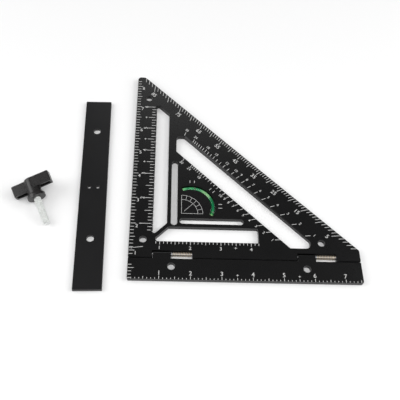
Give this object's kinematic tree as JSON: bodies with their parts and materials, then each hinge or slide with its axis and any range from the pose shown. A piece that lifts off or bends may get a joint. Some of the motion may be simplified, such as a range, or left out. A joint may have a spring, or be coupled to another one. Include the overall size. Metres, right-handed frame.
{
  "type": "carpenter square",
  "caption": "Triangular marking square with slots, scales and a bent level vial, a spring-held folding fence on pins, and its loose bar and wing knob.",
  "frame": {"origin": "centre of the bolt hole beside the square's right-angled corner, on the underside that the tool lies on", "axes": "+X along the hinge line and the long outer edge of the fence, +Y up the left rule towards the tip, +Z out of the face with the scales"},
  "size_m": [0.2942, 0.225, 0.0195],
  "materials": {
    "black_anodised": "satin black anodised",
    "pin_steel": "ground",
    "spring_steel": "drawn wire",
    "vial_clear": "clear, bent",
    "vial_plug": "gloss",
    "vial_green": "tinted spirit",
    "vial_air": "clear",
    "knob_black": "moulded, satin",
    "stud_steel": "bright zinc"
  },
  "bodies": {
    "square": {"square_plate": "black_anodised", "vial_tube": "vial_clear", "vial_plug_low": "vial_plug", "vial_plug_high": "vial_plug", "vial_liquid": "vial_green", "hinge_spring_left": "spring_steel", "hinge_spring_right": "spring_steel"},
    "hinge_pins": {"hinge_pin_left": "pin_steel", "hinge_pin_right": "pin_steel"},
    "fence": {"folding_fence": "black_anodised"},
    "bubble": {"vial_bubble": "vial_air"},
    "bar": {"loose_bar": "black_anodised"},
    "knob": {"knob_handle": "knob_black", "knob_stud": "stud_steel"}
  },
  "joints": [
    {"name": "fence_unlock", "type": "slide", "parent": "square", "child": "hinge_pins", "axis": [1, 0, 0], "range_m": [0, 0.0025], "stiffness_N_per_m": 3000, "springref_m": -0.002, "deforming": ["hinge_spring_left", "hinge_spring_right"]},
    {"name": "fence_fold", "type": "hinge", "parent": "hinge_pins", "child": "fence", "pos_m": [0.0236, -0.0125, 0.0021], "axis": [1, 0, 0], "range_deg": [0, 90]},
    {"name": "bubble_travel", "type": "hinge", "parent": "square", "child": "bubble", "pos_m": [0.04011, 0.033, 0.0021], "axis": [0, 0, 1], "range_deg": [-52, 27], "deforming": ["vial_liquid"]},
    {"name": "bar_lift", "type": "slide", "parent": "square", "child": "bar", "axis": [0, 0, 1], "range_m": [0, 0.05]},
    {"name": "knob_lift", "type": "slide", "parent": "square", "child": "knob", "axis": [0, 0, 1], "range_m": [0, 0.05]}
  ]
}
